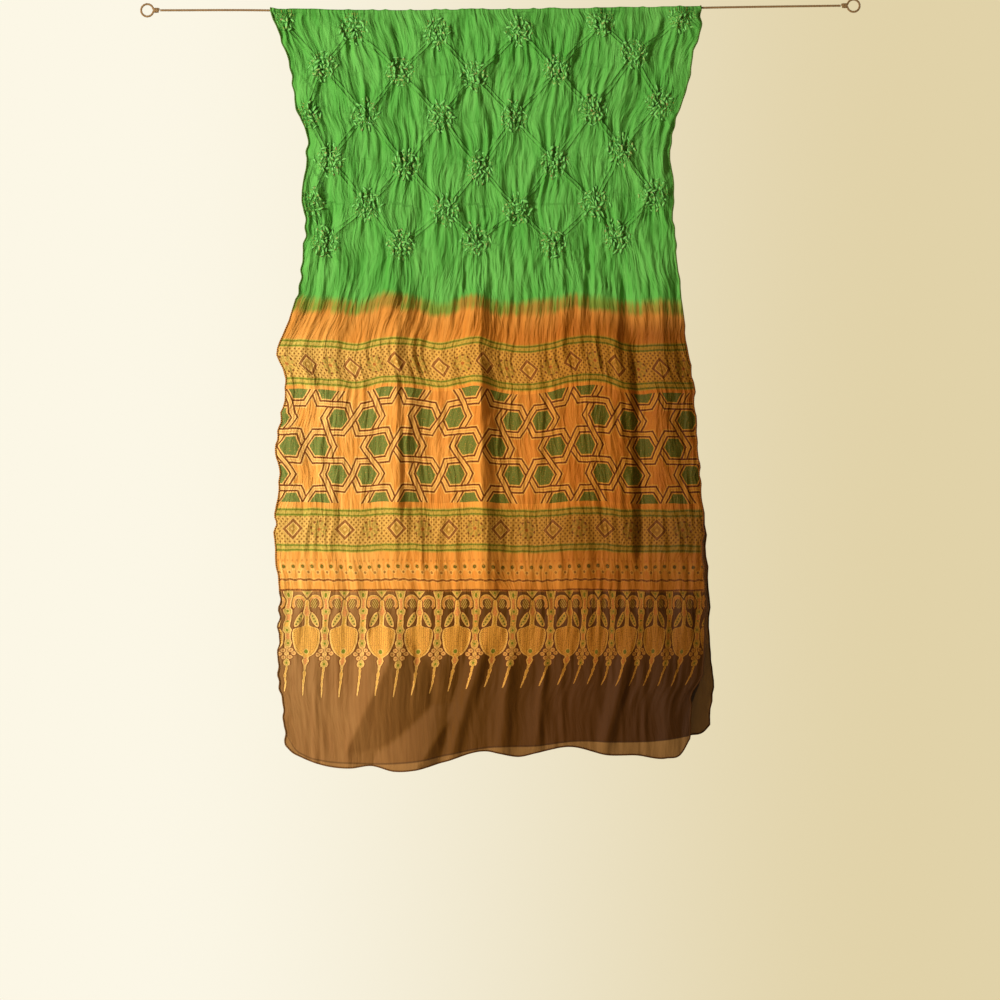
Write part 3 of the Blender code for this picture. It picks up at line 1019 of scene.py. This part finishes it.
def dyed(across, near, along):
    """The ground colour at a place on the flat cloth."""
    cloudy = across.at(along).noise(0.012, 3.0)
    streaks = across.at(along * 0.06).noise(0.22)
    tone = (cloudy * 0.5 + streaks * 0.5).rise(0.32, 0.68)
    orange = (near.rise(510, 566) * 0.55).mix(tone.mix(ORANGE, ORANGE_PALE), ORANGE_DEEP)
    # Painted shade: the brown is darker towards one long side.
    brown = across.rise(70, 270).mix(tone.mix(BROWN, BROWN_PALE), BROWN_SIDE_SHADE)
    overlap = (cloudy * 0.6 + streaks * 0.4).rise(0.42, 0.58).mix(OLIVE_BROWN, OLIVE)
    creep = near + (cloudy - 0.5) * 26 + (streaks - 0.5) * 10
    shade = lay(
        orange,
        (creep.rise(573, 584), overlap),
        (creep.rise(587, 602), tone.mix(GREEN_DEEP, GREEN_LIGHT)),
    )
    return (near + (cloudy - 0.5) * 3).rise(214, 219).mix(brown, shade)


# %% [markdown]
# Towards one long side the colours are painted deeper and redder, up to the green: painted shade
# for the light that falls off towards that side, darkest low on the cloth.

# %% Painted shade towards one long side
SIDE_SHADE_RAMP = (
    (0.06, (1.0, 1.0, 1.0)), (0.46, (0.86, 0.72, 0.48)), (0.70, (0.60, 0.42, 0.17)),
    (0.95, (0.33, 0.22, 0.06)),
)


def side_shaded(across, near, shade):
    # Painted shade: darker towards one long side, and darker still low on the cloth.
    depth = (across / (CLOTH_WIDTH / MM)).ramp(SIDE_SHADE_RAMP)
    shade = (1 - near.rise(548, 604)).mix(shade, depth, "MULTIPLY")
    return (across.rise(130, 460) * (1 - near.rise(300, 345)) * 0.30).mix(shade, colour(62, 36, 10))


# %% [markdown]
# ## Weave and crinkle of the surface
# A bump gives what is too fine to model: a plain weave of two crossing waves, and the finest
# crinkle. This silk is smooth but not glossy.

# %% Finish the silk's surface
THREAD_PITCH = 0.9


def silk(name, sheer=0.99):
    tree, shader = new_material(name, [cloth], Specular_IOR_Level=0.08, Alpha=sheer)
    return tree, shader, *flat_place(tree)


def fine_height(tree):
    """The pair of thin ridges along each taut crease, and the pleats that fan out from the ties."""
    side, near, fan, fan_near = (
        stored(tree, name) for name in ("crease_side", "crease_near", "fan", "fan_near")
    )
    pair = (1 - abs(abs(side) - 2.6) / 1.7).most(0.0)
    return pair * near + (1 - abs(fan.wave())) * fan_near


def silk_surface(across, along, shader, crumple, tie=None):
    drift = (across.at(along).noise(0.012, 1.0) - 0.5) * 30
    ridges = across.at(along * 0.12).noise(0.34, 4.0, 0.6)
    broad = (across + drift).at(along * 0.15).crest(0.075)
    narrow = (across + drift * 1.4).at(along * 0.20).crest(0.19)
    turn = 2 * math.pi / THREAD_PITCH
    threads = (across * turn).wave() + (along * turn).wave()
    height = (broad * 2.0 + narrow * 0.9 + ridges * 0.45) * crumple + threads * 0.03
    if tie is not None:
        height = height + tie * across.at(along).crest(0.24) * 2.6 + fine_height(across.tree)
    height.bump(0.9, 1.6 * MM, shader)
    (ridges * -0.18 + 0.62).feed(shader, "Roughness")


# %% [markdown]
# ## The tied green
# Around each cluster the green is painted darker, as painted shade in the valleys there. The
# tangle has painted shade in its grooves and a painted highlight on its crests, and a few flecks of
# the brown and cream that the binding kept out of the bath.

# %% The material of the tied field
tree, shader, across, near, along = silk("tied green silk")
tie = stored(tree, "tied")
speckle = across.at(along).noise(0.42)
tangle = across.at(along).crest(0.24)
ground = lay(
    dyed(across, near, along),
    # Painted shade: the green is darker around each cluster.
    (tie * 0.22, colour(34, 112, 26)),
    # Painted shade in the tangle's grooves and a painted highlight on its crests, on the noise of
    # its bump.
    (tie.rise(0.1, 0.5) * (1 - tangle.rise(0.78, 0.92)) * 0.45, colour(24, 84, 14)),
    (tie.rise(0.1, 0.5) * tangle.rise(0.93, 0.99) * 0.5, colour(128, 198, 104)),
    ((speckle > 0.63) * (tie > 0.30) * 0.6, colour(168, 142, 66)),
)
side_shaded(across, near, ground).feed(shader, "Base Color")
silk_surface(across, along, shader, 1.15, tie)
print("nodes in the green:", len(tree.nodes))

# %% The material of the nubs
tree, shader = new_material("tied points silk", nub_pieces, Roughness=0.6, Sheen_Weight=0.15)
fleck = stored(tree, "fleck")
speckle = Paint(tree).node("ShaderNodeTexCoord", output=3).noise(260.0)
shade = lay(
    # Painted shade at each nub's base and a painted highlight at its tip.
    stored(tree, "tip").rise(0.25, 0.9).mix(colour(46, 122, 32), colour(112, 190, 86)),
    ((fleck > 0.6) * (speckle > 0.60) * 0.5, colour(172, 150, 80)),
    ((fleck < 0.4) * (speckle < 0.40) * 0.7, colour(120, 84, 30)),
)
shade.feed(shader, "Base Color")
print("nodes in the nubs:", len(tree.nodes))

# %% [markdown]
# ## Printing with blocks
# Carved blocks printed the ends: interlaced straps with stars, two bands of diamonds, dots, and a
# border of hanging buds. A block sits a little crooked, so the places wobble before they are read.

# %% Wobble the places, as a hand-held block does
BLOCK_WOBBLE = 3.0


def hand_printed(across, near):
    place = across.at(near)
    aside, lift = place.noise(0.045, 1.0, output=1).parts("ShaderNodeSeparateColor")[:2]
    u, w = across + (aside - 0.5) * BLOCK_WOBBLE, near + (lift - 0.5) * BLOCK_WOBBLE
    return u, w, place.noise(0.6)


# %% [markdown]
# ## The strapwork
# Straps zigzag in three directions and weave over and under, with stars and olive hexagons left
# between. Each direction is the same zigzag, turned by 120 degrees.

# %% Interlaced straps
STAR_PITCH = 73.0
STAR_START = 103.0
STAR_MIDDLE = 404.0
STAR_BAND_HALF = 73.0
STRAP_WIDTH = 9.4
STRAP_LINE = 2.3
STRAP_EDGING = 1.5


def strapwork(across, near, ground):
    column = STAR_PITCH * math.sqrt(3) / 2
    swing = STAR_PITCH / math.sqrt(3) / 4
    half = STRAP_WIDTH / 2
    found = {}

    def gather(name, value, join=Paint.most):
        found[name] = join(found[name], value) if name in found else value

    for turn in (0, 120, 240):
        c, s = math.cos(math.radians(turn)), math.sin(math.radians(turn))
        u, w = across - STAR_START, near - STAR_MIDDLE
        x, y = u * c + w * s, w * c - u * s
        cell = (x / column).floor()
        phase = (y / STAR_PITCH + cell * 0.5).fraction()
        wave = abs(phase - 0.5) * 4 - 1
        side = x - (cell + 0.5) * column + wave * swing
        distance = abs(side) * math.cos(math.radians(30))
        body, over = distance < half, phase > 0.5
        line = body * (distance > half - STRAP_LINE)
        core = distance < half - STRAP_LINE - STRAP_EDGING
        for name, value in (("body", body), ("line", line), ("core", core)):
            gather((name, "over"), value * over)
            gather((name, "under"), value * (1 - over))
        gather("edging", distance < half + STRAP_EDGING)
        gather("inside", side * wave > 0, Paint.__mul__)

    open_above = 1 - found["body", "over"]
    line, core = (
        found[name, "over"].most(found[name, "under"] * open_above) for name in ("line", "core")
    )
    strap = found["body", "over"].most(found["body", "under"])
    band = abs(near - STAR_MIDDLE) < STAR_BAND_HALF
    return lay(
        ground,
        (across.rise(90, 260) * band * 0.26, colour(160, 90, 36)),
        (found["edging"] * band * 0.75, CREAM),
        (found["inside"] * (1 - found["edging"]) * band * 0.92, LEAF),
        (strap * band * 0.8, CREAM),
        (core * band * 0.85, colour(218, 154, 84)),
        (line * band * 0.95, DARK),
    )


# %% [markdown]
# ## The two narrow bands
# Each band has a dotted trellis, diamonds, rosettes half-way between them, and a pair of green
# lines above and below. Its row: start, end, level of the diamonds, their pitch, the first one.

# %% A band of diamonds and rosettes
NARROW_BANDS = ((269.0, 321.5, 296.5, 73.0, 24.4), (483.6, 539.5, 509.0, 64.5, 41.0))
TRELLIS_PITCH = 6.6


def narrow_band(across, near, ground, low, high, middle, pitch, first):
    y = near - middle
    slant = ((across + y) / TRELLIS_PITCH).fraction()
    other = ((across - y) / TRELLIS_PITCH).fraction()
    diamond = abs(across.every(pitch, first)) + abs(y)
    b = across.every(pitch, first + pitch / 2)
    rosette = b.reach(y)
    petal = (b.math("ARCTAN2", y, b) * 8).wave() * 0.5 + 0.5
    shade = lay(
        (b * 0 + 0.85).mix(ground, STRAW),
        ((slant < 0.24).most(other < 0.24) * 0.4, CREAM),
        ((abs(slant - 0.62) < 0.20) * (abs(other - 0.62) < 0.20) * 0.85, colour(112, 62, 24)),
        ((diamond < 15.4) * 0.7, CREAM),
        ((diamond < 14.0) * 0.9, colour(128, 74, 32)),
        (diamond < 9.4, CREAM),
        (diamond < 7.8, STRAW),
        (diamond.between(3.4, 4.8) * 0.5, RUST),
        ((diamond < 2.0) * 0.9, CREAM),
        ((rosette < 13.0) * 0.5, STRAW),
        (rosette.between(3.4, 11.0) * (petal > 0.5) * 0.45, colour(146, 140, 58)),
        (rosette.between(9.6, 12.0) * (petal < 0.36) * 0.85, DARK),
        ((rosette < 2.2) * 0.8, RUST),
    )
    edge = abs(near - (low + high) / 2) - (high - low) / 2
    line = edge.between(-1.3, 1.0).most(edge.between(-7.6, -5.4))
    return lay(
        ground,
        (edge < 0, shade),
        (edge.between(-8.4, 2.4) * 0.7, colour(182, 164, 70)),
        (line * ((across.every(2.9) < 0.9) * 0.25 + 0.65), colour(96, 116, 28)),
    )


# %% The material of the printed orange part
tree, shader, across, near, along = silk("printed orange silk")
ground = dyed(across, near, along)
u, w, worn = hand_printed(across, near)
shade = strapwork(u, w, ground)
for band in NARROW_BANDS:
    shade = narrow_band(u, w, shade, *band)
shade = (worn.rise(0.56, 0.74) * 0.55).mix(shade, ground)
side_shaded(across, near, shade).feed(shader, "Base Color")
silk_surface(across, along, shader, near.rise(240, 330) * 0.5 + 0.5)
print("nodes in the orange:", len(tree.nodes))

# %% [markdown]
# ## The hanging buds
# A border of buds hangs between slim columns, and drips run down from both into the plain brown.
# Each motif is a stack of turned shapes, like a chair leg: one colour ramp holds its half width
# at each level, and a second ramp holds its colours.

# %% One stacked motif: a half width and a colour at each level
BUD_PITCH = 52.9
COLUMN_START = 12.0
MOTIF_LOW, MOTIF_HIGH, MOTIF_WIDE = 70.0, 220.0, 25.0
PALE_LEAF = colour(204, 174, 88)
PETAL = colour(228, 176, 104)
BLUSH = colour(222, 148, 84)


def stacked(side, w, widths, colours, shade):
    def part(level):
        return (level - MOTIF_LOW) / (MOTIF_HIGH - MOTIF_LOW)

    width = part(w).ramp([(part(level), (half / MOTIF_WIDE,) * 3) for level, half in widths])
    width = width * MOTIF_WIDE
    fill = part(w).ramp([(part(level), shown) for level, shown in colours], "CONSTANT")
    outline, present = side - width, width > 0.35
    shade = lay(
        shade,
        ((outline < 2.3) * present * 0.85, DARK),
        ((outline < 0.9) * present, CREAM),
        ((outline < -1.0) * present, fill),
    )
    return shade, outline


# %% [markdown]
# From bottom to top: the level above the hem, then the half width or the colour from there on.

# %% The column and the bud, level by level
COLUMN_WIDTHS = (
    (76, 0.2), (84, 0.9), (88, 1.4), (89, 0.7), (96, 2), (98, 1), (105, 2.4), (107, 1.3),
    (112, 1.8), (114, 2.6), (117.5, 1.3), (119, 3.4), (122.5, 4.8), (126, 3.2), (129, 2),
    (141, 2.6), (145, 4), (148.5, 5.2), (152, 4), (154, 3.2), (161, 3.4), (165.3, 5.6), (169, 3.6),
    (171, 3.2), (184, 3.6), (187, 5.4), (192, 5.6), (194, 2.8), (203, 2.6), (209, 4.8),
    (216.5, 6.4), (217.5, 0),
)
COLUMN_COLOURS = (
    (70, GOLD), (118, PALE_LEAF), (127, PETAL), (144, PALE_LEAF), (153, BLUSH), (161, PALE_LEAF),
    (170, GOLD), (178, BLUSH), (186, PALE_LEAF), (193, BLUSH), (206, PALE_LEAF),
)
BUD_WIDTHS = (
    (76, 0.2), (84, 0.9), (90, 1.5), (91.5, 0.9), (99, 2.6), (101, 1.4), (110, 3.3), (113.5, 0.9),
    (117.5, 2.4), (120, 1), (122, 2.4), (126.5, 4.4), (129, 2.6), (131, 3.4), (134, 9), (138, 13.2),
    (143, 16.2), (149, 18.2), (155, 19.2), (161, 19.6), (165.5, 18.8), (168, 15), (169.6, 8),
    (171.6, 3), (176, 2.4), (184, 2.6), (189, 4.6), (194, 2.6), (203, 2), (205, 0),
)
BUD_COLOURS = (
    (70, GOLD), (115, PETAL), (121, BLUSH), (130, GOLD), (173, OCHRE), (184, BLUSH), (196, GOLD),
)
COLUMN_SEEDS = ((211, 0.55), (189.8, 1), (177.5, 1.4), (165.2, 1), (148.4, 1), (122.4, 1))
COLUMN_PETALS = (
    (-9.2, 134.5), (9.4, 135.5), (-4.6, 129.4), (4.8, 130.0), (-5.0, 139.0), (5.4, 139.6),
)

# %% [markdown]
# Over each bud stand two arches with curled ends and hatched leaves, a green cap between them, and
# a slanted leaf on each side. The bud has beads, flutes, scales and an eye. The column has a seed
# on each collar, and petals at its foot.

# %% Draw the border of buds
DRIPS_START = 119.0


def buds(u, w, shade):
    w = w - (DRIPS_START - w).most(0.0) * (u * 0.0009 + 0.10)
    drop = (131.0 - w).most(0.0)
    placed = u + (u - 410.0).most(0.0) * 0.32 + drop * (u * 0.0003 + 0.09)
    a = placed.every(BUD_PITCH, COLUMN_START)
    b = placed.every(BUD_PITCH, COLUMN_START + BUD_PITCH / 2)
    side = abs(b)

    ring, curl = (side - 11.6).reach(w - 200.5), (side - 20.2).reach(w - 195.2)
    arch = (ring.between(6.4, 10.4) * (w > 196.0)).most(curl < 2.7)
    rim = (ring.between(5.0, 11.6) * (w > 195.4)).most(curl < 3.8)
    hatch = ((side * 0.9 - w * 0.55) / 2.7).fraction() > 0.5
    hatched = (side - 9.6).reach((w - 200.0) * 0.75) < 4.8
    cap = side - (w - 207.5) * 0.8
    length = (w - 179.6) * 0.86 - (side - 10.8) * 0.51
    aside = (side - 10.8) * 0.86 + (w - 179.6) * 0.51
    leaf = (length * 0.36).reach(aside)
    seeds = (aside * 1.1).reach(length.every(4.2, 1.0))
    shade = lay(
        shade,
        (rim * 0.8, DARK),
        (ring.between(5.8, 11.0) * (w > 195.8) * 0.9, CREAM),
        (arch * ring.between(6.8, 10.0), BLUSH),
        (arch * ring.between(8.6, 10.0), GOLD),
        (hatched * 0.85, PALE_LEAF),
        (hatched * hatch * 0.85, DARK),
        ((cap < 0.6) * w.between(207.5, 217.0), CREAM),
        ((cap < -0.8) * w.between(208.5, 216.4) * 0.9, PALE_LEAF),
        ((side.reach(w - 213.6) < 1.5) * 0.8, PRINT_GREEN),
        ((leaf < 4.9) * 0.85, DARK),
        ((leaf < 4.1) * 0.95, CREAM),
        ((leaf < 3.0) * 0.95, PALE_LEAF),
        ((leaf < 3.2) * (seeds < 1.3) * 0.85, colour(70, 84, 24)),
    )

    slim = 1 + (w < DRIPS_START) * 0.6
    shade, outline = stacked(side * slim, w, BUD_WIDTHS, BUD_COLOURS, shade)
    in_bud = w.between(134.0, 169.5)
    beads = outline.between(-3.6, -2.2) * (((w + side) / 2.7).fraction() < 0.5)
    flute = (b / 3.1).fraction() < 0.34
    scale = ((b * 1.1 + w) / 3.2).fraction() < 0.30
    eye = b.reach(w - 138.0)
    shade = lay(
        shade,
        (in_bud * beads * 0.7, DARK),
        (in_bud * (outline < -5.0) * flute * 0.38, RUST),
        (in_bud * (outline < -4.0) * scale * (side > 9.0) * 0.35, RUST),
        ((eye < 4.0) * 0.9, CREAM),
        ((eye < 2.8) * 0.9, PRINT_GREEN),
    )

    shade, _ = stacked(abs(a) * slim, w, COLUMN_WIDTHS, COLUMN_COLOURS, shade)
    for level, tall in COLUMN_SEEDS:
        seed = a.reach((w - level) * tall)
        shade = lay(shade, ((seed < 2.6) * 0.6, CREAM), ((seed < 1.7) * 0.9, PRINT_GREEN))
    for sideways, level in COLUMN_PETALS:
        petal = ((a - sideways) * 0.8).reach(w - level)
        shade = lay(
            shade,
            ((petal < 3.5) * 0.8, DARK), ((petal < 2.7) * 0.95, PETAL), ((petal < 1.0) * 0.7, RUST),
        )
    return shade


# %% The dots and the wavy line over the buds
DOT_PITCH = 13.4
DOT_START = 3.0


def dotted_edge(u, w, shade):
    a = u.every(DOT_PITCH, DOT_START)
    upper = u.every(DOT_PITCH, DOT_START + DOT_PITCH / 2).reach(w - 248.0)
    lower = a.reach(w - 240.5)
    third = u.every(DOT_PITCH / 2, DOT_START).reach(w - 256.0)
    wavy = w - 230.5 - (u * (2 * math.pi / DOT_PITCH)).wave() * 0.6
    return lay(
        shade,
        (a.reach(w - 246.0).between(4.4, 6.0) * (w < 246.0) * 0.6, CREAM),
        ((lower < 3.2) * 0.6, CREAM),
        ((lower < 1.7) * 0.85, colour(128, 84, 34)),
        (upper.between(3.8, 5.2) * 0.5, CREAM),
        ((upper < 2.5) * 0.9, colour(72, 86, 26)),
        ((third < 1.5) * 0.4, RUST),
        (wavy.between(-2.6, 2.6) * 0.4, CREAM),
        (wavy.between(-1.3, 1.3) * 0.85, DARK),
        ((w - 217.6).between(-1.2, 1.2) * 0.85, DARK),
    )


# %% The material of the brown end
tree, shader, across, near, along = silk("printed brown silk", 0.995)
ground = dyed(across, near, along)
u, w, worn = hand_printed(across, near)
shade = dotted_edge(u, w, buds(u, w, ground))
shade = (worn.rise(0.50, 0.66) * 0.55).mix(shade, ground)
# Painted light: where only one layer hangs the brown is paler, for the light that shows through it,
# with a dark line just inside the other layer's edge.
alone = stored(tree, "single")
shade = lay(
    side_shaded(across, near, shade),
    (alone.rise(0.47, 0.55) * 0.42, colour(160, 116, 62)),
    (alone.between(0.40, 0.51) * 0.45, colour(50, 28, 10)),
)
shade.feed(shader, "Base Color")
silk_surface(across, along, shader, near.rise(60, 240) * 0.38 + 0.22)
print("nodes in the brown:", len(tree.nodes))

# %% Give each part of the sheet its material
ORANGE_STARTS = 548
BROWN_STARTS = 262
near_hem = np.minimum(flat_lengths, CLOTH_LENGTH - flat_lengths) / MM
row_near = (near_hem[:-1] + near_hem[1:]) / 2
kinds = np.where(row_near > ORANGE_STARTS, 0, np.where(row_near > BROWN_STARTS, 1, 2))
corners = read(cloth_mesh.loops, "vertex_index", kind=int).reshape(-1, 4)
face_kinds = kinds[cloth_row[corners].min(axis=1)]
write(cloth_mesh.polygons, "material_index", face_kinds, np.int32)
print("faces of each material:", np.bincount(face_kinds).tolist())

# %% [markdown]
# ## The hem's thread and the line's fibre
# The hem has the colour of its own part of the cloth, under brown whipping thread. The line is a
# plain brown cord with fine fibres.

# %% Materials of the hem and the line
WHIPPING_PITCH = 2.4
FIBRE_PITCH = 0.0007

tree, shader = new_material("rolled hem silk", [hem], Roughness=0.9, Specular_IOR_Level=0.05)
across, near, along = flat_place(tree)
ground = side_shaded(across, near, dyed(across, near, along))
thread = ((along + across) / WHIPPING_PITCH).fraction() > 0.45
(thread * 0.6 + 0.3).mix(ground, colour(64, 38, 16)).feed(shader, "Base Color")

tree, shader = new_material("brown line cord", [line_piece] + cord_pieces, Roughness=0.85)
start = Paint(tree).node("ShaderNodeUVMap", {"uv_map": "flat"})
lengthways, round_it = start.parts()[:2]
fibre = ((lengthways + round_it * 1.2) * (2 * math.pi / FIBRE_PITCH)).wave() * 0.5 + 0.5
patches = start.noise(180.0, 3.0)
shade = (fibre * 0.4 + patches * 0.6).mix(colour(92, 66, 38), colour(172, 134, 86))
shade.feed(shader, "Base Color")
(fibre + patches).bump(0.5, 0.3 * MM, shader)
print("materials:", sorted(made.name for made in bpy.data.materials))

# %% [markdown]
# ## What the cloth and the line are
# The stole was cut 0.60 by 2.03 m, and the line is taut.

# %% [markdown]
# ## Floor and light
# A pale floor well below, a bright pale room, and a lamp at the left, whose slant shows the
# creases. A second lamp does the same for the back.

# %% Floor and lamps
FLOOR_LEVEL = -1.60
shape = bmesh.new()
bmesh.ops.create_grid(shape, x_segments=1, y_segments=1, size=1.4)
bmesh.ops.translate(shape, verts=shape.verts, vec=(0, 0, FLOOR_LEVEL))
floor = add("floor", finished(shape, bpy.data.meshes.new("floor")))
new_material("plain floor", [floor], Base_Color=colour(246, 238, 214), Roughness=0.9)
floor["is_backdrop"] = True


def lamp(name, place, aim, power, size=0.5, tint=(1.0, 0.98, 0.92)):
    data = bpy.data.lights.new(name, "AREA")
    data.shape = "SQUARE"
    data.size = size
    data.energy = power
    data.color = tint
    made = add(name, data)
    made.location = place
    x, y, z = np.subtract(aim, place)
    made.rotation_euler = (math.atan2(math.hypot(x, y), -z), 0, math.atan2(y, x) - math.pi / 2)


lamp("key lamp", (-2.3, -1.8, 0.3), (0, 0, -0.5), 134)
lamp("back lamp", (2.3, 1.8, 0.3), (0, 0, -0.5), 120)

# %% The pale room: brighter at the left, and warm where it only lights the cloth
ROOM_LIGHT = 0.20
room = bpy.data.worlds.new("pale room")
room.use_nodes = True
seen = Paint(room.node_tree).node("ShaderNodeLightPath")
sideways = seen.node("ShaderNodeTexCoord").parts()[0]
wall = sideways.rise(-0.10, 0.11).mix(colour(252, 247, 230), colour(225, 210, 168))
background = room.node_tree.nodes["Background"]
seen.mix(colour(255, 232, 176), wall).feed(background, "Color")
(seen * (1 - ROOM_LIGHT) + ROOM_LIGHT).feed(background, "Strength")
bpy.context.scene.world = room
bpy.context.scene.view_settings.view_transform = "Standard"

# %% Gather the sizes and finish
boxes = {"cad": CAD_BOX, "visual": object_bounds()}
boxes = {key: [[float(n) for n in corner] for corner in box] for key, box in boxes.items()}
